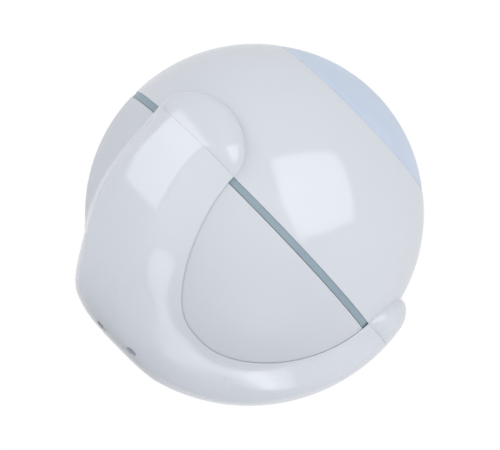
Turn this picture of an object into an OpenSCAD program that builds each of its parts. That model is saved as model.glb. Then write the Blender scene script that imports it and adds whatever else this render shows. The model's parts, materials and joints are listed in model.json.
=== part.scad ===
// Ball-shaped battery motion sensor with a twist-off front, in millimetres.
// The origin is the centre of the flat base face and +Z runs along the lens axis.
// The front cap carries the lens, circuit board and battery; the rear shell stays put.

/* [Ball] */
// Diameter of the ball
ball_d = 58; // [58:0.5:60]
// Wall thickness of the ball's two halves
wall = 2; // [1.8:0.1:2.2]
// Distance from the bottom of the ball down to the base face
foot_h = 3.8; // [3.6:0.1:4]

/* [Three-lobed shell] */
// Radius of the sphere that the lobes' outer faces lie on
lobe_r = 32; // [31.5:0.1:32.5]
// Distance of that sphere's centre below the ball's centre
lobe_drop = 1.35; // [1.2:0.05:1.4]
// Half width of each pocket between two lobes, in degrees around the ball
pocket_half_w = 39.6; // [38:0.2:41]
// Depth of each pocket below the parting plane, in degrees down the ball
pocket_depth = 50; // [48:1:51]
// Height of each lobe's tip above the parting plane, in degrees up the ball
tip_rise = 15; // [14:0.5:18]

/* [Lens] */
// Diameter of the lens opening in the front cap
lens_opening_d = 35.5; // [35.5:0.1:36]
// Radius of the lens's domed face
lens_r = 28; // [27.6:0.1:28.3]

/* [Twist lock] */
// Angle that the front cap turns to open
twist = 25; // [20:1:28]
// Angle that each locking lug spans
lug_w = 14; // [12:1:15]

/* [Battery] */
// Diameter of the lithium cell
cell_d = 17; // [16.5:0.1:17]
// Length of the lithium cell with its end button
cell_l = 34.5; // [33.5:0.1:34.5]

/* [Hidden] */
$fn = 64;
lobes = 3;
lobe_step = 360 / lobes;
ball_r = ball_d / 2;
inner_r = ball_r - wall;
fill_r = ball_r - 0.5;              // ribs and posts inside end here, under the skin
ball_z = ball_r + foot_h;
slack = 0.1;                       // gap between parts that only sit next to each other
big = 2 * ball_d;                  // size of the blocks that cut a sphere in half

// Outer shell
shell_gap = 0.15;                  // between the rear shell and the inner ball
shell_seat_r = ball_r + shell_gap;
tip_half_w = lobe_step / 2 - pocket_half_w;  // degrees, a lobe's half width at the parting plane
pocket_apex = 0.45 * ball_r;       // the pocket's walls spread from here, out along its middle
flank_tilt = 31;                   // degrees that a lobe-to-lobe flank faces downwards
flank_dist = 0.914 * ball_r;       // from the ball's centre to that flank

// Accent ring and the collar that the cap turns on
ring_h = 1.2;
ring_recess = 0.15;
collar_r = inner_r - 0.4;
collar_wall = 2;
collar_top = 3;
collar_bottom = -6;
ring_in_r = collar_r + slack;
skirt_r = collar_r + 0.08;
lug_reach = 0.8;
lug_z = 0.9;
lug_h = 1.2;
lug_first = 60;

// Lens
lens_in = lens_opening_d / 2 - slack;
lens_t = 0.8;
lens_pole = 1.0065 * ball_r;
lens_centre = lens_pole - lens_r;
seat_z = 17.6;
flange_t = 0.9;
flange_r = 19;
retainer_t = 1.3;
retainer_r = 19.1;
stake_ring = 20;
stake_r = 0.8;
stake_first = 30;

// Circuit board
pcb_r = 24.2;
pcb_t = 1.6;
pcb_z = 5;
pcb_top = pcb_z + pcb_t;
boss_ring = 21.5;
boss_r = 1.6;
boss_angles = [90, 215, 325];
screw_r = 0.98;
pilot_r = 1;
screw_head_r = 1.9;
screw_head_h = 1.3;
screw_l = 6;

// Battery holder, offset to leave a path for the reset pin
cell_y = 1.6;
cell_z = -8;
cell_r = cell_d / 2;
nub_r = 3.25;
nub_l = 1.5;
holder_l = 41;
holder_wall = 1.1;
holder_in = holder_l / 2 - holder_wall;
holder_w = cell_d + 2 * holder_wall + 0.4;
holder_bottom = -11.5;
peg_x = 10;
peg_r = 0.75;
tab_w = 2;
contact_t = 0.4;
nub_end = holder_in - contact_t - 0.02;  // where the cell's end button meets its contact
spring_wire_r = 0.35;
spring_r = 3.4;
spring_turns = 3;

// Motion detector
pir_z = pcb_top + 1.5;
pir_r = 4.15;
pir_h = 4.2;
window_size = [4, 3, 0.4];
lead_ring = 2.54;
lead_r = 0.23;

// Base
screw_ring = 8.1;                  // shell screws, one under each lobe
shell_screw_r = 0.68;
shell_pilot_r = 0.7;
shell_head_r = 1;
shell_head_h = 0.9;
shell_head_z = -31;
shell_screw_top = -25.6;
shell_boss_r = 2.2;
shell_boss_top = -24.6;
disc_r = 6;
disc_t = 1.5;
disc_z = -31;
pin_ring = 10.15;
pin_angle = 285.5;
pin_r = 1;
pin_guide_r = 0.7;

// Buttons
button_r = 0.8;
button_out = 1;
switch_w = 3;
switch_h = 1.8;
tamper_angle = 66;
tamper_ring = 21.8;
tamper_r = 0.6;
tamper_travel = 0.6;
tamper_body = [3, 5, 2.6];
tamper_tip = 0.9;                  // height of the plunger's tip when the cap is closed
tamper_gap = 0.05;

// ---------- shared shapes, all measured from the ball's centre ----------

// Moves a shape from ball coordinates to the base-face origin.
module on_base() {
    translate([0, 0, ball_z]) children();
}

// Repeats a shape once for each angle in the list.
module around(angles) {
    for (a = angles) {
        rotate([0, 0, a]) children();
    }
}

// One angle for each lobe, starting at the given one.
function threes(first) = [for (i = [0:lobes - 1]) first + i * lobe_step];

// A ring with square edges.
module tube(outer, inner, bottom, top) {
    translate([0, 0, bottom]) difference() {
        cylinder(r = outer, h = top - bottom);
        translate([0, 0, -1]) cylinder(r = inner, h = top - bottom + 2);
    }
}

// Everything above, or everything below, a height.
module above(z) {
    translate([-big / 2, -big / 2, z]) cube([big, big, big]);
}

module below(z) {
    translate([-big / 2, -big / 2, z - big]) cube([big, big, big]);
}

// A block centred in X and Y that stands on the given height.
module block(size, x, y, z) {
    translate([x - size[0] / 2, y - size[1] / 2, z]) cube(size);
}

// A curved bar with square edges between two radii, over an arc that starts at angle 0.
module arc_bar(inner, outer, bottom, top, angle) {
    rotate_extrude(angle = angle) {
        translate([inner, bottom]) square([outer - inner, top - bottom]);
    }
}

// Turns a profile drawn in Y and Z, and pushes it outwards along +X.
module outwards(from) {
    translate([from, 0, 0]) rotate([90, 0, 90]) children();
}

module lobe_sphere() {
    translate([0, 0, -lobe_drop]) sphere(r = lobe_r, $fn = 96);
}

// Signed power, for the rounded outline of the pockets.
function spow(v, p) = sign(v) * pow(abs(v), p);

// A pocket's outline on the ball, as slopes from the point where its walls spread.
function pocket_slope(t) =
    let (
        side = pocket_half_w * spow(cos(t), 2 / 2.6),
        down = -pocket_depth * spow(sin(t), 2 / 1.6),
        out = ball_r * cos(down) * cos(side) - pocket_apex
    )
    [ball_r * cos(down) * sin(side) / out, ball_r * sin(down) / out];

// Removes the shell between two lobes, so that the ball shows.
module pocket() {
    reach = 1.2 * ball_r;
    edge = pocket_slope(0)[0];
    outline = [for (t = [0:7.5:180]) pocket_slope(t)];
    outwards(pocket_apex + 1) {
        linear_extrude(height = reach - 1, scale = reach) {
            polygon(concat(outline, [[-edge, 0.2], [edge, 0.2]]));
        }
    }
}

// Slopes the shell in to the ball under each pocket.
module flank() {
    rotate([0, flank_tilt, 0]) {
        translate([flank_dist, -big / 2, -big / 2]) cube([big, big, big]);
    }
}

// The end of one lobe, above the parting plane.
module lobe_tip() {
    half_w = ball_r * sin(tip_half_w);
    half_h = ball_r * sin(tip_rise);
    outwards(ball_r / 2) {
        linear_extrude(height = ball_r) {
            polygon([for (t = [0:7.5:352.5]) [half_w * cos(t), half_h * sin(t)]]);
        }
    }
}

// ---------- front half ----------

module front_cap() {
    color("white") on_base() {
        difference() {
            union() {
                cap_skin();
                lens_seat();
                around(boss_angles) cap_boss();
            }
            translate([0, 0, seat_z - 5]) cylinder(d = lens_opening_d, h = ball_r);
            around(boss_angles) {
                translate([boss_ring, 0, pcb_top - 1]) cylinder(r = pilot_r, h = screw_l);
            }
        }
        around(threes(stake_first)) {
            translate([stake_ring, 0, seat_z - flange_t - retainer_t - 0.6]) {
                cylinder(r = stake_r, h = flange_t + retainer_t + 1);
            }
        }
        around(threes(lug_first - lug_w / 2)) {
            arc_bar(skirt_r - lug_reach, skirt_r + 0.3, lug_z, lug_z + lug_h, lug_w);
        }
    }
}

// The outer skin of the cap with its lobe tips and the skirt that turns on the collar.
module cap_skin() {
    difference() {
        union() {
            sphere(r = ball_r, $fn = 96);
            intersection() {
                lobe_sphere();
                around(threes(0)) lobe_tip();
            }
        }
        below(slack);
        difference() {
            sphere(r = inner_r, $fn = 96);
            translate([0, 0, -1]) difference() {
                cylinder(r = ball_r, h = collar_top + 1.2);
                translate([0, 0, -1]) cylinder(r = skirt_r, h = collar_top + 4);
            }
        }
    }
}

// The flat ledge that the lens flange sits against.
module lens_seat() {
    intersection() {
        sphere(r = fill_r, $fn = 96);
        tube(stake_ring + stake_r + 0.6, lens_in - 1, seat_z, ball_r);
    }
}

// A post for one circuit board screw.
module cap_boss() {
    intersection() {
        sphere(r = fill_r, $fn = 96);
        translate([boss_ring, 0, pcb_top]) cylinder(r = boss_r, h = ball_r);
    }
}

module fresnel_lens() {
    color([0.77, 0.82, 0.9]) on_base() {
        intersection() {
            translate([0, 0, lens_centre]) difference() {
                sphere(r = lens_r, $fn = 96);
                sphere(r = lens_r - lens_t, $fn = 96);
            }
            translate([0, 0, seat_z]) cylinder(r = lens_in, h = ball_r);
        }
        rim_z = lens_centre + sqrt(pow(lens_r - lens_t, 2) - pow(lens_in - lens_t, 2));
        tube(lens_in, lens_in - lens_t, seat_z - slack - flange_t, rim_z);
        tube(flange_r, lens_in - lens_t, seat_z - slack - flange_t, seat_z - slack);
    }
}

module lens_retainer() {
    top = seat_z - 2 * slack - flange_t;
    color("gainsboro") on_base() {
        difference() {
            union() {
                tube(retainer_r, lens_in - lens_t, top - retainer_t, top);
                around(threes(stake_first)) {
                    translate([stake_ring, 0, top - retainer_t]) {
                        cylinder(r = 1.25, h = retainer_t);
                    }
                }
            }
            around(threes(stake_first)) {
                translate([stake_ring, 0, top - retainer_t - 1]) {
                    cylinder(r = stake_r + 0.02, h = retainer_t + 2);
                }
            }
        }
    }
}

module main_pcb() {
    color("darkgreen") on_base() {
        difference() {
            translate([0, 0, pcb_z]) cylinder(r = pcb_r, h = pcb_t);
            around(boss_angles) pcb_hole(boss_ring, 0, screw_r + 0.1);
            for (side = [-1, 1]) {
                pcb_hole(side * peg_x, cell_y, peg_r + 0.05);
                block(
                    [contact_t + 0.4, tab_w + 0.4, pcb_t + 2],
                    side * (holder_in - contact_t / 2), cell_y, pcb_z - 1
                );
            }
            around(threes(0)) pcb_hole(lead_ring, 0, lead_r + 0.1);
        }
    }
}

module pcb_hole(x, y, r) {
    translate([x, y, pcb_z - 1]) cylinder(r = r, h = pcb_t + 2);
}

module pcb_screws() {
    color("silver") on_base() {
        around(boss_angles) {
            translate([boss_ring, 0, pcb_z - screw_head_h]) {
                difference() {
                    cylinder(r = screw_head_r, h = screw_head_h);
                    translate([0, 0, -0.1]) cross_recess(1.9, 0.5, 0.8);
                }
                cylinder(r = screw_r, h = screw_l);
            }
        }
    }
}

// The crossed slots in a screw head.
module cross_recess(length, width, depth) {
    for (a = [0, 90]) {
        rotate([0, 0, a]) block([length, width, depth], 0, 0, 0);
    }
}

// ---------- parts on the lens side of the board ----------

module pir_spacer() {
    color("ivory") on_base() {
        difference() {
            translate([0, 0, pcb_top]) cylinder(r = pir_r + 1.2, h = pir_z - pcb_top);
            around(threes(0)) {
                translate([lead_ring, 0, pcb_top - 1]) {
                    cylinder(r = lead_r + 0.1, h = pir_z - pcb_top + 2);
                }
            }
        }
    }
}

module pir_sensor() {
    color("lightgray") on_base() {
        difference() {
            union() {
                translate([0, 0, pir_z]) cylinder(r = pir_r + 0.45, h = 0.5);
                translate([0, 0, pir_z]) cylinder(r = pir_r, h = pir_h);
            }
            block(window_size + [0.1, 0.1, 1], 0, 0, pir_z + pir_h - window_size[2]);
        }
    }
}

module pir_window() {
    color("dimgray") on_base() {
        block(window_size, 0, 0, pir_z + pir_h - window_size[2]);
    }
}

module pir_leads() {
    color("gold") on_base() {
        around(threes(0)) {
            translate([lead_ring, 0, pcb_z]) cylinder(r = lead_r, h = pir_z - pcb_z);
        }
    }
}

module status_led() {
    color("white") on_base() {
        difference() {
            block([3.2, 2.8, 1.8], 9, 0, pcb_top);
            translate([9, 0, pcb_top + 1.3]) cylinder(r = 1.1, h = 1);
        }
    }
}

module light_sensor() {
    color("black") on_base() {
        translate([-9.5, 0, pcb_top]) {
            cylinder(r = 1.5, h = 3);
            translate([0, 0, 3]) sphere(r = 1.5);
        }
    }
}

module temperature_sensor() {
    color("black") on_base() {
        block([1.7, 3, 1.2], -8, -18, pcb_top);
    }
}

module microcontroller() {
    color("black") on_base() {
        block([7, 7, 0.9], 0, -12.5, pcb_top);
    }
}

module crystal() {
    color("silver") on_base() {
        block([3.2, 2.5, 0.8], 7.5, -13, pcb_top);
    }
}

module radio_board() {
    color("darkgreen") on_base() {
        block([11, 13, 0.8], 11.5, 9.8, pcb_top);
    }
}

module radio_shield() {
    color("silver") on_base() {
        block([9.6, 9.6, 1.7], 11.5, 8.8, pcb_top + 0.8);
    }
}

module capacitor() {
    color("slategray") on_base() {
        translate([-12.5, -8.5, pcb_top]) {
            block([6.4, 6.4, 0.8], 0, 0, 0);
            cylinder(r = 3, h = 5.4);
        }
    }
}

// A bent wire on two legs, curved along the edge of the board.
module antenna() {
    wire_r = 0.4;
    ring = 19;
    sweep = 62;
    rise = 3.2;
    color("goldenrod") on_base() {
        rotate([0, 0, 108]) {
            translate([0, 0, pcb_top + rise]) rotate_extrude(angle = sweep) {
                translate([ring, 0]) circle(r = wire_r);
            }
            around([0, sweep]) {
                translate([ring, 0, pcb_top]) cylinder(r = wire_r, h = rise);
                translate([ring, 0, pcb_top + rise]) sphere(r = 1.15 * wire_r);
            }
        }
    }
}

// ---------- parts on the battery side of the board ----------

// The spot above the reset pin hole.
module at_pin(z) {
    rotate([0, 0, pin_angle]) translate([pin_ring, 0, z]) rotate([0, 0, -pin_angle]) children();
}

module program_switch() {
    color("dimgray") on_base() {
        difference() {
            at_pin(pcb_z - switch_h) block([switch_w, switch_w, switch_h], 0, 0, 0);
            at_pin(pcb_z - switch_h - 1) cylinder(r = button_r + 0.05, h = 2);
        }
    }
}

module program_button() {
    color("black") on_base() {
        at_pin(pcb_z - switch_h - button_out) cylinder(r = button_r, h = button_out + 0.6);
    }
}

module tamper_switch() {
    color("dimgray") on_base() {
        rotate([0, 0, tamper_angle]) difference() {
            block(tamper_body, tamper_ring, 0, pcb_z - tamper_body[2]);
            translate([tamper_ring, 0, pcb_z - tamper_body[2] - 1]) {
                cylinder(r = tamper_r + 0.05, h = 3);
            }
        }
    }
}

module tamper_plunger() {
    color("white") on_base() {
        rotate([0, 0, tamper_angle]) translate([tamper_ring, 0, tamper_tip + tamper_r]) {
            sphere(r = tamper_r);
            cylinder(r = tamper_r, h = 2);
        }
    }
}

module battery_holder() {
    color("black") on_base() {
        difference() {
            block([holder_l, holder_w, pcb_z - holder_bottom], 0, cell_y, holder_bottom);
            translate([-holder_in, cell_y, cell_z]) rotate([0, 90, 0]) {
                cylinder(r = cell_r + 0.2, h = 2 * holder_in);
            }
            block(
                [2 * holder_in, cell_d + 0.4, cell_z - holder_bottom + 1],
                0, cell_y, holder_bottom - 1
            );
            for (side = [-1, 1]) {
                block(
                    [contact_t + 0.1, tab_w + 0.2, pcb_z - cell_z + 1],
                    side * (holder_in - contact_t / 2), cell_y, cell_z
                );
            }
        }
        for (side = [-1, 1]) {
            translate([side * peg_x, cell_y, pcb_z - 1]) cylinder(r = peg_r, h = pcb_t + 0.8);
        }
    }
}

module battery() {
    color("royalblue") on_base() {
        translate([nub_end, cell_y, cell_z]) rotate([0, -90, 0]) {
            cylinder(r = nub_r, h = nub_l + 1);
            translate([0, 0, nub_l]) cylinder(r = cell_r, h = cell_l - nub_l);
        }
    }
}

// A sheet-metal contact that stands against one end wall of the holder.
module contact_plate(side) {
    x = side * (holder_in - contact_t / 2);
    block([contact_t, 9, 9], x, cell_y, cell_z - 4.5);
    block([contact_t, tab_w, pcb_top + 0.8 - cell_z], x, cell_y, cell_z);
}

module positive_contact() {
    color("gold") on_base() {
        contact_plate(1);
    }
}

// Half a turn of spring wire that climbs by the given height.
module half_turn(climb) {
    rotate([0, atan(climb / 2 / spring_r), 0]) {
        rotate_extrude(angle = 180) {
            translate([spring_r, 0]) circle(r = spring_wire_r);
        }
    }
}

module negative_spring() {
    start = -holder_in + contact_t;
    end = nub_end - cell_l;
    run = end - start - 2 * spring_wire_r;
    climb = run / (2 * spring_turns);
    color("gold") on_base() {
        contact_plate(-1);
        translate([start + spring_wire_r - 0.05, cell_y, cell_z]) rotate([0, 90, 0]) {
            for (i = [0:2 * spring_turns - 1]) {
                translate([0, 0, (i + 0.5) * climb]) rotate([0, 0, 180 * i]) half_turn(climb);
                translate([spring_r * cos(180 * i), 0, i * climb]) {
                    sphere(r = 1.15 * spring_wire_r);
                }
            }
        }
    }
}

// ---------- rear half ----------

// The coloured ring that shows between the two halves of the ball.
module accent_ring() {
    color("slategray") on_base() {
        tube(ball_r - ring_recess, ring_in_r, -ring_h, 0);
    }
}

module inner_ball() {
    color("whitesmoke") on_base() {
        difference() {
            union() {
                difference() {
                    sphere(r = ball_r, $fn = 96);
                    above(-ring_h - slack);
                    sphere(r = inner_r, $fn = 96);
                }
                collar();
                intersection() {
                    sphere(r = fill_r, $fn = 96);
                    around(threes(0)) {
                        translate([screw_ring, 0, -ball_r]) {
                            cylinder(r = shell_boss_r, h = ball_r + shell_boss_top);
                        }
                    }
                }
            }
            around(threes(0)) {
                translate([screw_ring, 0, -ball_r]) {
                    cylinder(r = shell_pilot_r, h = ball_r + shell_screw_top + 0.2);
                }
            }
            at_pin(-ball_r) cylinder(r = pin_guide_r, h = 10);
        }
        tamper_ramp();
    }
}

// The collar that the cap turns on, with the L-shaped tracks for its lugs.
module collar() {
    play = 0.5;
    tube(inner_r + 0.5, collar_r - collar_wall, collar_bottom, -ring_h - slack);
    difference() {
        tube(collar_r, collar_r - collar_wall, -ring_h - 1, collar_top);
        around(threes(lug_first - lug_w / 2 - play)) {
            track_r = skirt_r - lug_reach - slack;
            arc_bar(track_r, ball_r, lug_z - slack, lug_z + lug_h + slack, lug_w + twist);
            rotate([0, 0, twist]) {
                arc_bar(track_r - slack, ball_r, lug_z, collar_top + 1, lug_w + 2 * play);
            }
        }
    }
}

// The sloping ledge that holds the tamper plunger in while the cap is closed.
module tamper_ramp() {
    half_run = tamper_ring * sin(twist / 2);
    land = tamper_r + 0.5;
    top = tamper_tip - tamper_gap;
    root = collar_r - collar_wall + 0.5;
    intersection() {
        cylinder(r = root, h = ball_d, center = true);
        rotate([0, 0, tamper_angle + twist / 2]) {
            outwards(tamper_ring - tamper_r - 0.6) {
                linear_extrude(height = root - tamper_ring + tamper_r + 0.6) {
                    polygon([
                        [-half_run - land, collar_bottom],
                        [-half_run - land, top + land * tamper_travel / (2 * half_run)],
                        [half_run + land, top - tamper_travel * (1 + land / (2 * half_run))],
                        [half_run + land, collar_bottom]
                    ]);
                }
            }
        }
    }
}

module rear_shell() {
    color("white") on_base() {
        difference() {
            lobe_sphere();
            above(0);
            below(-ball_r - foot_h);
            sphere(r = shell_seat_r, $fn = 96);
            around(threes(lobe_step / 2)) {
                pocket();
                flank();
            }
            translate([0, 0, disc_z - 0.05]) cylinder(r = disc_r + 0.05, h = ball_r / 4);
            around(threes(0)) {
                translate([screw_ring, 0, -ball_r - foot_h]) {
                    cylinder(r = shell_screw_r + 0.1, h = ball_r / 2);
                    cylinder(r = shell_head_r + 0.1, h = shell_head_z + ball_r + foot_h);
                }
            }
            at_pin(-ball_r - foot_h) cylinder(r = pin_r, h = ball_r / 2);
        }
    }
}

module steel_disc() {
    color("silver") on_base() {
        translate([0, 0, disc_z]) cylinder(r = disc_r, h = disc_t);
    }
}

module shell_screws() {
    color("silver") on_base() {
        around(threes(0)) {
            translate([screw_ring, 0, shell_head_z - shell_head_h]) {
                difference() {
                    cylinder(r = shell_head_r, h = shell_head_h);
                    translate([0, 0, -0.1]) cross_recess(1.2, 0.3, 0.5);
                }
            }
            translate([screw_ring, 0, shell_head_z]) {
                cylinder(r = shell_screw_r, h = shell_screw_top - shell_head_z);
            }
        }
    }
}

front_cap();
fresnel_lens();
lens_retainer();
accent_ring();
rear_shell();
inner_ball();
steel_disc();
shell_screws();
main_pcb();
pcb_screws();
pir_sensor();
pir_window();
pir_leads();
pir_spacer();
status_led();
light_sensor();
temperature_sensor();
microcontroller();
crystal();
radio_board();
radio_shield();
capacitor();
antenna();
program_switch();
program_button();
tamper_switch();
tamper_plunger();
battery_holder();
battery();
positive_contact();
negative_spring();
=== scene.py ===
"""Looks for the ball-shaped motion sensor: finer shells, a faceted lens, materials and a studio."""

import json
import math

import bmesh
import bpy
import numpy as np
from mathutils import Matrix, Vector


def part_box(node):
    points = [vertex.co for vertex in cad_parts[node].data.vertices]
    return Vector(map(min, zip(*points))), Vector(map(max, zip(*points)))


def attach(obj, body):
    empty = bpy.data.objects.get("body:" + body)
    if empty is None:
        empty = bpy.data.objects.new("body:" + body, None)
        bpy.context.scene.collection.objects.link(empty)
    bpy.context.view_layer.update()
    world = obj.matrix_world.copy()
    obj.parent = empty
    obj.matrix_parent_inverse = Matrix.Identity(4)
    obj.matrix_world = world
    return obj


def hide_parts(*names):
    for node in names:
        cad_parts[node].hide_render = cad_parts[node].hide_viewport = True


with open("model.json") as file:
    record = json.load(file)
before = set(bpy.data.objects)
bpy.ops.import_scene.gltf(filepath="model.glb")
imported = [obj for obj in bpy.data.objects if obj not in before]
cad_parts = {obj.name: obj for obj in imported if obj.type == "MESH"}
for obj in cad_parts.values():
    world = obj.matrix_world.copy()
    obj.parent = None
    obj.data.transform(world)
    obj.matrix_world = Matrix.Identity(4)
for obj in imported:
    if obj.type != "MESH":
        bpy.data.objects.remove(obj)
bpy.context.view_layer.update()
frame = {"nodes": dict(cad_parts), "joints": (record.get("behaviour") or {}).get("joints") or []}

MM = 0.001

# ---------- driving sizes, in metres and degrees ----------
# Heights are taken from the ball's centre and angles around from a lobe's middle.

JOINTS = {joint["name"]: joint for joint in frame["joints"]}
CENTRE_Z = JOINTS["cap_twist"]["pos_m"][2]
BALL_R = CENTRE_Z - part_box("inner_ball")[0].z
WALL = 2 * MM
LOBES = 3
SECTOR = 360 / LOBES
# The front cap starts this far above the parting plane, where the rear shell ends.
PARTING = 0.02 * MM

# The lobes' outer faces lie on a sphere whose centre is LOBE_DROP below the ball's.
LOBE_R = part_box("rear_shell")[1].x
LOBE_DROP = 1.35 * MM
# How softly they turn into the flat base
BASE_BLEND = 0.9 * MM
# From the ball to the rear shell's inner face, and to its edge round the pockets
SHELL_GAP = 0.08 * MM
SHELL_LIP = 0.16 * MM

# The pockets between the lobes, whose edges are superellipses, and the lobes' tips
POCKET_HALF_W = 39.6
POCKET_DEPTH = 50.0
POCKET_SIDE_POWER = 2.6
POCKET_DOWN_POWER = 1.6
TIP_HALF_W = SECTOR / 2 - POCKET_HALF_W
TIP_RISE = 15.0

# The widths of the slopes by which a lobe rises from the ball, at its tip, at its side and round
# a pocket's foot. FOOT_SLOPE_START and SLOPE_END are shares of those widths.
TIP_SLOPE_W = 0.15 * BALL_R
SIDE_SLOPE_W = 0.22 * BALL_R
FOOT_SLOPE_W = 0.34 * BALL_R
FOOT_SLOPE_START = 0.12
SLOPE_END = 1.05
FOOT_STEP_W = 0.15 * BALL_R
FOOT_STEP = 0.12
# Degrees up at which one slope starts to give way to the next
TIP_ENDS_UP = 9
SIDE_STARTS_UP = -9
SIDE_ENDS_UP = -24
FOOT_STARTS_UP = -46

# Holes in the base
SCREW_HOLE_R = 1.1 * MM
SCREW_RING_R = 8.1 * MM
PIN_HOLE_R = 1.0 * MM
PIN_RING_R = 10.15 * MM
PIN_AZIMUTH = 285.5

# The cap's lens opening, lens seat and skirt
OPENING_R = 17.75 * MM
OPENING_ROUND = 0.15 * MM
SEAT_Z = 17.6 * MM
SKIRT_R = 26.68 * MM
SKIRT_TOP = 3.2 * MM

LENS_R = 28.0 * MM
LENS_EDGE_R = 17.65 * MM
LENS_WALL = 0.8 * MM
LENS_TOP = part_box("fresnel_lens")[1].z - CENTRE_Z
LENS_FLANGE_R = 19.0 * MM
LENS_FLANGE_TOP = 17.5 * MM
LENS_FLANGE_BOTTOM = 16.6 * MM

# Creases steeper than this stay sharp.
SHARP_ANGLE = 35.0
LENS_SHARP_ANGLE = 50.0


# ---------- mesh helpers ----------

def sphere_points(azimuth, elevation, radius):
    """Points around the ball's centre, in the row frame, from angles in degrees."""
    a = np.radians(azimuth)
    e = np.radians(elevation)
    level = radius * np.cos(e)
    return np.stack([level * np.cos(a), level * np.sin(a), CENTRE_Z + radius * np.sin(e)], -1)


def smoothstep(low, high, value):
    """0 at low and before it, 1 at high and past it, with a smooth change between."""
    t = np.clip((value - low) / (high - low), 0, 1)
    return t * t * (3 - 2 * t)


def add_object(name, data):
    """Links a new object to the scene."""
    made = bpy.data.objects.new(name, data)
    bpy.context.scene.collection.objects.link(made)
    return made


class Builder:
    """Collects grids of points and turns them into one mesh object."""

    def __init__(self):
        self.points = []
        self.faces = []
        self.count = 0

    def grid(self, points, flip=False):
        """Adds a grid of quads. points has the shape (rows, columns, 3)."""
        rows, columns = points.shape[:2]
        index = np.arange(rows * columns).reshape(rows, columns) + self.count
        quads = np.stack([index[:-1, :-1], index[:-1, 1:], index[1:, 1:], index[1:, :-1]], -1)
        quads = quads.reshape(-1, 4)
        if flip:
            quads = quads[:, ::-1]
        self.points.append(points.reshape(-1, 3))
        self.faces.extend(quads.tolist())
        self.count += rows * columns

    def finish(self, name, sharp_angle=SHARP_ANGLE):
        """Makes the object, joins the grids where they touch and drops collapsed faces."""
        mesh = bpy.data.meshes.new(name)
        mesh.from_pydata(np.concatenate(self.points).tolist(), [], self.faces)
        piece = add_object(name, mesh)
        weld(mesh)
        mesh.shade_smooth()
        mesh.set_sharp_from_angle(angle=math.radians(sharp_angle))
        return piece


def weld(mesh):
    """Merges points that coincide and removes the faces that collapse."""
    distance = 0.001 * MM
    work = bmesh.new()
    work.from_mesh(mesh)
    bmesh.ops.remove_doubles(work, verts=work.verts, dist=distance)
    bmesh.ops.dissolve_degenerate(work, edges=work.edges, dist=distance)
    bmesh.ops.recalc_face_normals(work, faces=work.faces)
    work.to_mesh(mesh)
    work.free()


# ---------- the lobes' surface ----------

def pocket_edge(count):
    """Half of a pocket's edge, from the ring to its foot: degrees from its middle, degrees up."""
    t = np.linspace(0, math.pi / 2, count)
    side = POCKET_HALF_W * np.cos(t) ** (2 / POCKET_SIDE_POWER)
    up = -POCKET_DEPTH * np.sin(t) ** (2 / POCKET_DOWN_POWER)
    return side, up


def seam_curve(count):
    """Half of one repeat of the line where the lobes rise from the ball.

    It runs from the middle of a pocket's foot to the middle of a lobe's tip, as degrees around
    from the lobe's middle and degrees up.
    """
    side, pocket_up = pocket_edge(count)
    t = np.linspace(0, math.pi / 2, count)[1:]
    around = np.concatenate([SECTOR / 2 - side[::-1], TIP_HALF_W * np.cos(t)])
    up = np.concatenate([pocket_up[::-1], TIP_RISE * np.sin(t)])
    return around, up


SEAM_AROUND, SEAM_UP = seam_curve(240)
SEAM_POINTS = sphere_points(SEAM_AROUND, SEAM_UP, BALL_R)


def on_lobe(around, up):
    """Whether directions lie on a lobe, or on the base that joins the lobes."""
    tip = (around / TIP_HALF_W) ** 2 + (up / TIP_RISE) ** 2 < 1
    side = np.abs(SECTOR / 2 - around) / POCKET_HALF_W
    down = np.maximum(-up, 0) / POCKET_DEPTH
    below = side ** POCKET_SIDE_POWER + down ** POCKET_DOWN_POWER > 1
    return np.where(up >= 0, tip, below)


def seam_distance(azimuth, elevation):
    """Distance in from the seam, in metres, and how many degrees up the nearest seam point is.

    The distance is 0 off the lobes.
    """
    around = np.abs((azimuth + SECTOR / 2) % SECTOR - SECTOR / 2)
    points = sphere_points(around, elevation, BALL_R).reshape(-1, 3)
    nearest = np.empty(len(points), int)
    distance = np.empty(len(points))
    batch = 2000
    for start in range(0, len(points), batch):
        part = slice(start, start + batch)
        gap = ((points[part, None, :] - SEAM_POINTS[None]) ** 2).sum(-1)
        nearest[part] = gap.argmin(1)
        distance[part] = np.sqrt(gap.min(1))
    inside = on_lobe(around, elevation).reshape(-1)
    shape = np.shape(around)
    return np.where(inside, distance, 0).reshape(shape), SEAM_UP[nearest].reshape(shape)


def lobe_reach(elevation):
    """Distance from the ball's centre to the lobes' outer face, rounded into the flat base."""
    lift = np.sin(np.radians(elevation))
    along = -LOBE_DROP * lift
    face = along + np.sqrt(along ** 2 + LOBE_R ** 2 - LOBE_DROP ** 2)
    nearly_level = 0.05
    base = CENTRE_Z / np.maximum(-lift, nearly_level)
    return soft_minimum(face, base, BASE_BLEND)


def lobe_rise(azimuth, elevation):
    """Share of the full height that a lobe has reached, from 0 at the seam to 1.

    The tips have a round shoulder. Below them the lobes leave the ball by a gentle slope, which is
    longest round the pockets' feet and has a small, shorter step there.
    """
    distance, seam_up = seam_distance(azimuth, elevation)
    share = np.clip(distance / TIP_SLOPE_W, 0, 1)
    tip = np.sqrt(1 - (1 - share) ** 2)
    foot = smoothstep(SIDE_ENDS_UP, FOOT_STARTS_UP, seam_up)
    width = SIDE_SLOPE_W + (FOOT_SLOPE_W - SIDE_SLOPE_W) * foot
    gentle = smoothstep(FOOT_SLOPE_START * foot, SLOPE_END, distance / width)
    step = FOOT_STEP * foot * smoothstep(0, FOOT_STEP_W, distance)
    side = gentle + step * (1 - gentle)
    below_tip = smoothstep(TIP_ENDS_UP, SIDE_STARTS_UP, seam_up)
    return tip * (1 - below_tip) + side * below_tip


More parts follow.
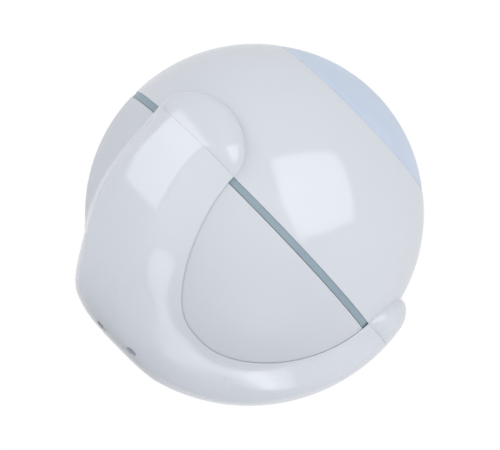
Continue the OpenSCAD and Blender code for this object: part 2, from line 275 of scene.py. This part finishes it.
def soft_minimum(first, second, blend):
    """The lower of two values, rounded where they cross."""
    mix = np.clip(0.5 + 0.5 * (second - first) / blend, 0, 1)
    return second * (1 - mix) + first * mix - blend * mix * (1 - mix)


# ---------- the white shells ----------

FINGER_ROWS = 72
BOWL_ROWS = 56
LOBE_COLUMNS = 97
DRILL_SIDES = 48


def rear_shell():
    """The three-lobed shell. Its rows end on the pockets' edges, so that the edges are clean.

    Rows 0 to FINGER_ROWS - 1 cross a lobe between two pockets. The rest cross the bowl below them.
    """
    pocket_side, finger_up = pocket_edge(FINGER_ROWS)
    bowl_up = -np.linspace(POCKET_DEPTH, 90, BOWL_ROWS)[1:]
    half_w = np.concatenate([SECTOR / 2 - pocket_side, np.full(len(bowl_up), SECTOR / 2)])
    up = np.concatenate([finger_up, bowl_up])
    across = np.sin(np.linspace(-1, 1, LOBE_COLUMNS) * math.pi / 2)
    start = BALL_R + SHELL_LIP
    build = Builder()
    for lobe in range(LOBES):
        azimuth = lobe * SECTOR + half_w[:, None] * across[None, :]
        elevation = np.repeat(up[:, None], len(across), 1)
        rise = lobe_rise(azimuth, elevation)
        outer = start + (lobe_reach(elevation) - start) * rise
        outside = sphere_points(azimuth, elevation, outer)
        inside = sphere_points(azimuth, elevation, np.full_like(outer, BALL_R + SHELL_GAP))
        build.grid(outside)
        build.grid(inside, flip=True)
        build.grid(np.stack([inside[0], outside[0]]))
        build.grid(np.stack([outside[:FINGER_ROWS, 0], inside[:FINGER_ROWS, 0]]))
        build.grid(np.stack([inside[:FINGER_ROWS, -1], outside[:FINGER_ROWS, -1]]))
    skin = build.finish("rear_shell_skin")
    drill(skin, [(SCREW_HOLE_R, SCREW_RING_R, lobe * SECTOR) for lobe in range(LOBES)])
    drill(skin, [(PIN_HOLE_R, PIN_RING_R, PIN_AZIMUTH)])
    return skin


def drill(piece, holes):
    """Cuts upright round holes through the base. A hole is its radius, ring radius and azimuth."""
    for radius, ring_r, azimuth in holes:
        tool = drill_bit(radius)
        a = math.radians(azimuth)
        tool.location = (ring_r * math.cos(a), ring_r * math.sin(a), 0)
        cut = piece.modifiers.new("drill", "BOOLEAN")
        cut.operation = "DIFFERENCE"
        cut.solver = "EXACT"
        cut.object = tool
        bpy.context.view_layer.update()
        seen = piece.evaluated_get(bpy.context.evaluated_depsgraph_get())
        cut_mesh = bpy.data.meshes.new_from_object(seen)
        piece.modifiers.clear()
        piece.data = cut_mesh
        bpy.data.objects.remove(tool)
    piece.data.set_sharp_from_angle(angle=math.radians(SHARP_ANGLE))


def drill_bit(radius):
    """An upright cylinder, long enough to pass through the base when its middle is at height 0."""
    work = bmesh.new()
    bmesh.ops.create_cone(work, cap_ends=True, segments=DRILL_SIDES, radius1=radius,
                          radius2=radius, depth=0.5 * BALL_R)
    mesh = bpy.data.meshes.new("drill")
    work.to_mesh(mesh)
    work.free()
    return add_object("drill", mesh)


# Degrees up at which the cap's tip grids end and its plain dome begins
DOME_START_UP = 30.0
# Rings from a tip's middle to its edge, rings from there to the border, and rows up its sides
TIP_RINGS = 25
BORDER_RINGS = 22
SIDE_ROWS = 19
# Rows of the dome, of its rounded rim and of the cap's inside
DOME_ROWS = 16
RIM_ROWS = 8
INSIDE_ROWS = 24
# Powers above 1 that crowd the rings and rows towards a tip's edge or the parting plane
TIP_CROWDING = 1.8
BORDER_CROWDING = 1.3
SIDE_CROWDING = 1.6


def tip_grid():
    """Angles around and up of one third of the cap's skin, and the columns of the dome above it.

    Half rings widen from the middle of the tip's foot to its edge. From there they change shape
    until they reach the border, which is the third's two sides and the circle at DOME_START_UP.
    """
    low = math.degrees(PARTING / BALL_R)
    inner = 1 - (1 - np.linspace(0, 1, TIP_RINGS)) ** TIP_CROWDING
    outer = np.linspace(0, 1, BORDER_RINGS)[1:] ** BORDER_CROWDING
    right = np.concatenate([TIP_HALF_W * inner, TIP_HALF_W + (SECTOR / 2 - TIP_HALF_W) * outer])
    columns = np.concatenate([-right[:0:-1], right])
    top_count = len(columns) - 2

    # The columns' two ends meet the border's corners at this angle round the tip.
    corner = math.radians(30)
    climb = np.linspace(0, 1, SIDE_ROWS)
    side_angles = corner * climb ** BORDER_CROWDING
    top_angles = np.linspace(corner, math.pi - corner, top_count + 2)[1:-1]
    angles = np.concatenate([side_angles, top_angles, math.pi - side_angles[::-1]])
    tip_around = TIP_HALF_W * np.cos(angles)
    tip_up = low + (TIP_RISE - low) * np.sin(angles)

    side_up = low + (DOME_START_UP - low) * climb ** SIDE_CROWDING
    border_up = np.concatenate([side_up, np.full(top_count, DOME_START_UP), side_up[::-1]])
    border_around = np.concatenate([
        np.full(SIDE_ROWS, SECTOR / 2), columns[::-1][1:-1], np.full(SIDE_ROWS, -SECTOR / 2),
    ])
    around = np.concatenate([
        inner[:, None] * tip_around,
        tip_around + outer[:, None] * (border_around - tip_around),
    ])
    up = np.concatenate([
        low + inner[:, None] * (tip_up - low),
        tip_up + outer[:, None] * (border_up - tip_up),
    ])
    return around, up, columns


def front_cap():
    """The front half of the ball, with the three lobe tips as part of its skin."""
    around, up, columns = tip_grid()
    profile = cap_profile()
    build = Builder()
    for lobe in range(LOBES):
        azimuth = lobe * SECTOR + around
        rise = lobe_rise(azimuth, up)
        radius = BALL_R + (lobe_reach(up) - BALL_R) * rise
        skin = sphere_points(azimuth, up, radius)
        bottom = np.concatenate([skin[::-1, -1], skin[1:, 0]])
        turned = lathe(profile, lobe * SECTOR + columns)
        build.grid(skin)
        build.grid(turned)
        build.grid(np.stack([turned[-1], bottom]))
    return build.finish("front_cap_skin")


def cap_profile():
    """Radius and height of the cap's section, from the dome's start over the rim to the skirt."""
    inner_r = BALL_R - WALL
    round_x = OPENING_R + OPENING_ROUND
    round_z = math.sqrt((BALL_R - OPENING_ROUND) ** 2 - round_x ** 2)
    first = math.atan2(round_z, round_x)
    sphere_up = np.radians(np.linspace(DOME_START_UP, math.degrees(first), DOME_ROWS))
    turn = np.linspace(first, math.pi, RIM_ROWS)[1:]
    seat_r = math.sqrt(inner_r ** 2 - SEAT_Z ** 2)
    seat_up = math.asin(SEAT_Z / inner_r)
    skirt_up = math.asin(SKIRT_TOP / inner_r)
    inner_up = np.linspace(seat_up, skirt_up, INSIDE_ROWS)
    points = [(BALL_R * math.cos(e), BALL_R * math.sin(e)) for e in sphere_up]
    points += [
        (round_x + OPENING_ROUND * math.cos(a), round_z + OPENING_ROUND * math.sin(a))
        for a in turn
    ]
    points += [(OPENING_R, SEAT_Z), (seat_r, SEAT_Z)]
    points += [(inner_r * math.cos(e), inner_r * math.sin(e)) for e in inner_up]
    points += [(SKIRT_R, SKIRT_TOP), (SKIRT_R, PARTING)]
    return np.array(points)


def lathe(profile, columns):
    """Turns a (radius, height) profile about the lens axis, with one column per azimuth."""
    a = np.radians(columns)
    radius = profile[:, 0][:, None]
    height = np.repeat(profile[:, 1][:, None], len(columns), 1)
    return np.stack([radius * np.cos(a), radius * np.sin(a), CENTRE_Z + height], -1)


# ---------- the lens ----------

# Degrees from the pole at which each ring of the lens starts and ends, and how many segments it has
LENS_RINGS = [(0, 9, 1), (9, 20, 6), (20, 31, 12), (31, 42, 18)]
GROOVE_PITCH = 2.4
GROOVE_DEPTH = 0.12 * MM
LENS_OUTER_ROWS = 60
LENS_INNER_ROWS = 130
LENS_COLUMNS = 361


def lens_facets(azimuth, polar):
    """How deep the lens's grooves are cut into its wall, from 0 to 1, at angles in degrees.

    Each ring of the lens is split into segments, and each segment has grooves round its middle.
    """
    depth = np.zeros(np.broadcast(azimuth, polar).shape)
    for inner, outer, segments in LENS_RINGS:
        width = 360 / segments
        middle_az = (np.floor(azimuth / width) + 0.5) * width
        middle_polar = (inner + outer) / 2 if segments > 1 else 0
        side = (azimuth - middle_az) * np.sin(np.radians(polar))
        away = np.hypot(side if segments > 1 else 0, polar - middle_polar)
        groove = (away / GROOVE_PITCH) % 1
        here = (polar >= inner) & (polar < outer)
        depth = np.where(here, groove, depth)
    return depth


def fresnel_lens():
    """The domed lens, smooth outside and grooved inside."""
    centre = LENS_TOP - LENS_R
    inner_r = LENS_R - LENS_WALL
    inner_edge = LENS_EDGE_R - LENS_WALL
    outer_end = math.degrees(math.asin(LENS_EDGE_R / LENS_R))
    inner_end = math.degrees(math.asin(inner_edge / inner_r))
    columns = np.linspace(0, 360, LENS_COLUMNS)
    outer_polar = np.linspace(0, outer_end, LENS_OUTER_ROWS)
    inner_polar = np.linspace(inner_end, 0, LENS_INNER_ROWS)
    outer_radius = np.full((LENS_OUTER_ROWS, LENS_COLUMNS), LENS_R)
    facets = lens_facets(columns[None, :], inner_polar[:, None])
    plain_edge = smoothstep(inner_end, inner_end - 1, inner_polar)[:, None]
    inner_radius = inner_r + GROOVE_DEPTH * facets * plain_edge
    build = Builder()
    build.grid(dome(columns, outer_polar, outer_radius, centre))
    wall = np.array([
        (LENS_EDGE_R, centre + LENS_R * math.cos(math.radians(outer_end))),
        (LENS_EDGE_R, LENS_FLANGE_TOP),
        (LENS_FLANGE_R, LENS_FLANGE_TOP),
        (LENS_FLANGE_R, LENS_FLANGE_BOTTOM),
        (inner_edge, LENS_FLANGE_BOTTOM),
        (inner_edge, centre + inner_r * math.cos(math.radians(inner_end))),
    ])
    build.grid(lathe(wall, columns))
    build.grid(dome(columns, inner_polar, inner_radius, centre))
    return build.finish("lens_dome", sharp_angle=LENS_SHARP_ANGLE)


def dome(columns, polar, radius, centre):
    """A grid on a dome about the lens axis. radius has one value per polar angle and column."""
    p = np.radians(polar)[:, None]
    a = np.radians(columns)[None, :]
    level = radius * np.sin(p)
    height = CENTRE_Z + centre + radius * np.cos(p)
    return np.stack([level * np.cos(a), level * np.sin(a), height], -1)


# ---------- materials ----------

WHITE = (0.69, 0.715, 0.765)
# The range that most of a noise texture's values lie in
NOISE_LOW = 0.3
NOISE_HIGH = 0.7


class Shader:
    """A principled material with a few short-hands for its nodes."""

    def __init__(self, name, colour, roughness, **inputs):
        self.material = bpy.data.materials.new(name)
        self.material.use_nodes = True
        self.tree = self.material.node_tree
        self.surface = self.tree.nodes["Principled BSDF"]
        self.place = self.add("ShaderNodeTexCoord").outputs["Object"]
        self.set("Base Color", (*colour, 1))
        self.set("Roughness", roughness)
        self.colour = colour
        self.roughness = roughness
        for key, value in inputs.items():
            self.set(key.replace("_", " "), value)

    def add(self, kind):
        return self.tree.nodes.new(kind)

    def link(self, output, target):
        self.tree.links.new(output, target)

    def set(self, key, value):
        self.surface.inputs[key].default_value = value

    def noise(self, scale, detail):
        """A noise value with features about 1 / scale metres apart."""
        node = self.add("ShaderNodeTexNoise")
        node.inputs["Scale"].default_value = scale
        node.inputs["Detail"].default_value = detail
        self.link(self.place, node.inputs["Vector"])
        return node.outputs["Fac"]

    def mapped(self, value, low, high):
        """value, taken from the noise's usual range to the range low to high."""
        node = self.add("ShaderNodeMapRange")
        node.inputs["From Min"].default_value = NOISE_LOW
        node.inputs["From Max"].default_value = NOISE_HIGH
        node.inputs["To Min"].default_value = low
        node.inputs["To Max"].default_value = high
        self.link(value, node.inputs["Value"])
        return node.outputs["Result"]

    def vary_colour(self, value, amount):
        """Darkens the colour by up to amount where value is low."""
        mix = self.add("ShaderNodeMix")
        mix.data_type = "RGBA"
        mix.inputs["A"].default_value = (*[c * (1 - amount) for c in self.colour], 1)
        mix.inputs["B"].default_value = (*self.colour, 1)
        self.link(self.mapped(value, 0, 1), mix.inputs["Factor"])
        self.link(mix.outputs["Result"], self.surface.inputs["Base Color"])

    def vary_roughness(self, value, spread):
        """Moves the roughness by up to spread either way with value."""
        result = self.mapped(value, self.roughness - spread, self.roughness + spread)
        self.link(result, self.surface.inputs["Roughness"])

    def bump(self, value, distance):
        """Raises the surface by up to distance with value."""
        node = self.add("ShaderNodeBump")
        node.inputs["Distance"].default_value = distance
        node.inputs["Strength"].default_value = 1.0
        self.link(value, node.inputs["Height"])
        self.link(node.outputs["Normal"], self.surface.inputs["Normal"])


def white_plastic(name, brightness, roughness):
    """Injection-moulded ABS, with a faint ripple in the skin."""
    colour = [brightness * c for c in WHITE]
    look = Shader(name, colour, roughness, IOR=1.65)
    look.vary_colour(look.noise(60, 2), 0.012)
    look.vary_roughness(look.noise(900, 4), 0.03)
    look.bump(look.noise(220, 2), 0.004 * MM)
    return look.material


def pale_lens():
    """Translucent polyethylene, a little blue and faintly cloudy."""
    look = Shader("pale_lens", (0.60, 0.685, 0.83), 0.3, IOR=1.5)
    look.set("Subsurface Weight", 0.25)
    look.set("Subsurface Scale", 0.8 * MM)
    look.set("Subsurface Radius", (1.0, 1.0, 1.0))
    look.vary_colour(look.noise(160, 3), 0.06)
    look.bump(look.noise(500, 2), 0.01 * MM)
    return look.material


def accent_plastic():
    """Blue-grey plastic with a fine grain."""
    look = Shader("accent_plastic", (0.30, 0.39, 0.45), 0.4, IOR=1.5)
    look.vary_colour(look.noise(300, 2), 0.04)
    look.bump(look.noise(3000, 3), 0.01 * MM)
    return look.material


def plain_plastic(name, colour, roughness=0.5):
    """Moulded plastic with a fine grain."""
    look = Shader(name, colour, roughness, IOR=1.5)
    look.vary_colour(look.noise(150, 3), 0.05)
    look.vary_roughness(look.noise(800, 4), 0.06)
    look.bump(look.noise(2500, 4), 0.02 * MM)
    return look.material


def plated_metal(name, colour, roughness=0.28):
    """Plated metal with fine scratches in its roughness."""
    look = Shader(name, colour, roughness, Metallic=1.0)
    look.vary_colour(look.noise(250, 4), 0.08)
    look.vary_roughness(look.noise(1800, 6), 0.08)
    look.bump(look.noise(1200, 3), 0.005 * MM)
    return look.material


def solder_mask():
    """Green lacquer over copper: the tracks show as a faint network."""
    look = Shader("solder_mask", (0.02, 0.16, 0.07), 0.3, IOR=1.5)
    tracks = look.add("ShaderNodeTexBrick")
    tracks.inputs["Scale"].default_value = 420
    tracks.inputs["Mortar Size"].default_value = 0.06
    look.link(look.place, tracks.inputs["Vector"])
    look.vary_colour(tracks.outputs["Fac"], 0.25)
    look.bump(tracks.outputs["Fac"], 0.03 * MM)
    return look.material


def dress_cad_nodes():
    """Gives every CAD node that stays in view its own procedural material."""
    steel = plated_metal("zinc_steel", (0.62, 0.63, 0.65))
    nickel = plated_metal("nickel", (0.66, 0.64, 0.60), 0.22)
    gold = plated_metal("gold_plate", (0.83, 0.62, 0.30), 0.2)
    copper = plated_metal("enamelled_copper", (0.62, 0.30, 0.14), 0.25)
    board = solder_mask()
    black = plain_plastic("black_plastic", (0.02, 0.02, 0.022))
    epoxy = plain_plastic("chip_epoxy", (0.012, 0.012, 0.014), 0.6)
    ivory = plain_plastic("natural_nylon", (0.72, 0.71, 0.66))
    dark_filter = plain_plastic("infrared_filter", (0.02, 0.012, 0.012), 0.12)
    resin = plain_plastic("led_resin", (0.82, 0.82, 0.72), 0.25)
    sleeve = plain_plastic("cell_sleeve", (0.02, 0.06, 0.22), 0.3)
    looks = {
        steel: ["steel_disc", "shell_screws", "pcb_screws"],
        nickel: ["pir_sensor", "crystal", "radio_shield", "capacitor", "positive_contact",
                 "negative_spring"],
        gold: ["pir_leads"],
        copper: ["antenna"],
        board: ["main_pcb", "radio_board"],
        black: ["program_switch", "program_button", "tamper_switch", "battery_holder"],
        epoxy: ["microcontroller", "temperature_sensor"],
        ivory: ["lens_retainer", "pir_spacer", "tamper_plunger"],
        dark_filter: ["pir_window", "light_sensor"],
        resin: ["status_led"],
        sleeve: ["battery"],
        accent_plastic(): ["accent_ring"],
    }
    for material, names in looks.items():
        for name in names:
            paint(frame["nodes"][name], material)


def paint(piece, material):
    """Gives an object one material, in place of any it has."""
    piece.data.materials.clear()
    piece.data.materials.append(material)


# ---------- studio ----------

# How far the camera looks up, how steeply the lens's axis rises in the picture, and how far the
# view is turned about that axis
VIEW_TILT = math.radians(3.46)
LENS_SLOPE = math.radians(44.38)
VIEW_TURN = math.radians(3.5)
VIEW_DISTANCE = 20 * BALL_R
SENSOR_W = 36
# The ball's radius in the picture, and the lens shift that puts it in its place, as shares of the
# picture's width
BALL_SHARE = 0.33896
BALL_SHIFT = (-0.00898, -0.02348)

ROOM_COLOUR = (0.97, 0.985, 1.0, 1)
ROOM_STRENGTH = 0.615
# How the room's brightness changes upwards and towards the camera
ROOM_GRADIENT = (-0.03, -0.17)

# A softbox has a direction and a distance from the ball, a glow, and the corners of its face in
# metres across and up. The direction is right, up and towards the camera.
SOFTBOXES = {
    "left_softbox": ((-0.73, 0.58, 0.36), 0.6, 1.5, [
        (-0.08, 0.25), (0.30, 0.12), (0.17, -0.40), (-0.21, -0.17), (-0.15, 0.15),
    ]),
    "right_softbox": ((0.66, 0.27, 0.70), 0.6, 1.5, [
        (-0.30, 0.26), (0.18, 0.23), (0.23, 0.18), (0.30, -0.21), (-0.15, -0.38), (-0.29, -0.10),
    ]),
    "low_softbox": ((0.03, -0.93, 0.36), 0.6, 0.8, [
        (-0.15, -0.15), (0.15, -0.15), (0.15, 0.15), (-0.15, 0.15),
    ]),
    "low_spotlight": ((0.05, -0.95, 0.30), 0.54, 2.8, [
        (-0.04, -0.06), (0.03, -0.07), (0.02, 0.09), (-0.025, 0.09),
    ]),
}


def camera_axes():
    """The camera's right, up and backward directions in the row frame."""
    toward = Vector((0, -math.cos(VIEW_TILT), -math.sin(VIEW_TILT)))
    axis_up = Vector((0, -math.sin(VIEW_TILT), math.cos(VIEW_TILT)))
    side = Vector((1, 0, 0))
    right = side * math.sin(LENS_SLOPE) + axis_up * math.cos(LENS_SLOPE)
    up = axis_up * math.sin(LENS_SLOPE) - side * math.cos(LENS_SLOPE)
    turn = Matrix.Rotation(VIEW_TURN, 3, "Z")
    return turn @ right, turn @ up, turn @ toward


RIGHT, UP, TOWARD = camera_axes()
CENTRE = Vector((0, 0, CENTRE_Z))


def add_camera():
    """A camera that looks at the ball along -TOWARD."""
    data = bpy.data.cameras.new("camera")
    focal_share = BALL_SHARE * math.sqrt((VIEW_DISTANCE / BALL_R) ** 2 - 1)
    data.sensor_width = SENSOR_W
    data.lens = SENSOR_W * focal_share
    data.shift_x, data.shift_y = BALL_SHIFT
    data.clip_start = 0.01
    camera = add_object("camera", data)
    turn = Matrix((RIGHT, UP, TOWARD)).transposed().to_4x4()
    camera.matrix_world = Matrix.Translation(CENTRE + TOWARD * VIEW_DISTANCE) @ turn
    bpy.context.scene.camera = camera


def flat_panel(name, corners):
    """A new object with one face."""
    mesh = bpy.data.meshes.new(name)
    mesh.from_pydata(corners, [], [tuple(range(len(corners)))])
    return add_object(name, mesh)


def add_softbox(name, direction, distance, glow, corners):
    """A glowing panel that faces the ball and that the camera doesn't see."""
    back = (RIGHT * direction[0] + UP * direction[1] + TOWARD * direction[2]).normalized()
    side = UP.cross(back).normalized()
    above = back.cross(side)
    middle = CENTRE + back * distance
    panel = flat_panel(name, [middle + side * x + above * y for x, y in corners])
    look = Shader(name, (1, 1, 1), 1.0)
    look.set("Emission Color", (1, 1, 1, 1))
    look.set("Emission Strength", glow)
    paint(panel, look.material)
    panel.visible_camera = False
    panel.visible_shadow = False


def room_level(tree):
    """The room's brightness, which changes evenly from one side of the room to the other."""
    place = tree.nodes.new("ShaderNodeTexCoord")
    along = tree.nodes.new("ShaderNodeVectorMath")
    along.operation = "DOT_PRODUCT"
    along.inputs[1].default_value = UP * ROOM_GRADIENT[0] + TOWARD * ROOM_GRADIENT[1]
    level = tree.nodes.new("ShaderNodeMath")
    level.operation = "ADD"
    level.inputs[1].default_value = ROOM_STRENGTH
    tree.links.new(place.outputs["Generated"], along.inputs[0])
    tree.links.new(along.outputs["Value"], level.inputs[0])
    return level.outputs["Value"]


def add_world():
    """White behind the part for the camera, and a dimmer, slightly blue room for everything else."""
    world = bpy.data.worlds.new("studio")
    world.use_nodes = True
    tree = world.node_tree
    backdrop = tree.nodes["Background"]
    backdrop.inputs["Color"].default_value = (1, 1, 1, 1)
    room = tree.nodes.new("ShaderNodeBackground")
    room.inputs["Color"].default_value = ROOM_COLOUR
    tree.links.new(room_level(tree), room.inputs["Strength"])
    seen = tree.nodes.new("ShaderNodeLightPath")
    mix = tree.nodes.new("ShaderNodeMixShader")
    tree.links.new(seen.outputs["Is Camera Ray"], mix.inputs["Fac"])
    tree.links.new(room.outputs["Background"], mix.inputs[1])
    tree.links.new(backdrop.outputs["Background"], mix.inputs[2])
    tree.links.new(mix.outputs["Shader"], tree.nodes["World Output"].inputs["Surface"])
    bpy.context.scene.world = world
    bpy.context.scene.view_settings.view_transform = "Standard"


def pale_floor():
    """A matt pale grey from above, and clear from below."""
    look = Shader("pale_floor", (0.85, 0.85, 0.86), 0.8)
    look.vary_colour(look.noise(3, 2), 0.01)
    clear = look.add("ShaderNodeBsdfTransparent")
    facing = look.add("ShaderNodeNewGeometry")
    mix = look.add("ShaderNodeMixShader")
    look.link(facing.outputs["Backfacing"], mix.inputs["Fac"])
    look.link(look.surface.outputs["BSDF"], mix.inputs[1])
    look.link(clear.outputs["BSDF"], mix.inputs[2])
    look.link(mix.outputs["Shader"], look.tree.nodes["Material Output"].inputs["Surface"])
    return look.material


def add_floor():
    """A floor level with the base, which throws no shadow and isn't mirrored in the part."""
    half = 1.5
    corners = [(-half, -half, 0), (half, -half, 0), (half, half, 0), (-half, half, 0)]
    floor = flat_panel("floor", corners)
    paint(floor, pale_floor())
    floor.visible_shadow = False
    floor.visible_glossy = False


# ---------- putting it together ----------

def add_piece(piece, node, body, material):
    """Puts a finished piece in a CAD node's place."""
    paint(piece, material)
    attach(piece, body)
    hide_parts(node)


cap_white = white_plastic("cap_white", 1.0, 0.12)
# The rear shell's white is 3% lighter than the cap's: painted light, for the brighter band round the
# pockets and the lobes' lighter edges.
shell_white = white_plastic("shell_white", 1.03, 0.12)
# The inner ball's white is 4% darker than the cap's: painted shade for the pockets between the
# lobes, where it shows.
satin_white = white_plastic("satin_white", 0.96, 0.45)
add_piece(rear_shell(), "rear_shell", "rear_housing", shell_white)
add_piece(front_cap(), "front_cap", "front_assembly", cap_white)
add_piece(fresnel_lens(), "fresnel_lens", "front_assembly", pale_lens())
paint(frame["nodes"]["inner_ball"], satin_white)
dress_cad_nodes()
add_world()
add_floor()
for softbox, setup in SOFTBOXES.items():
    add_softbox(softbox, *setup)
add_camera()
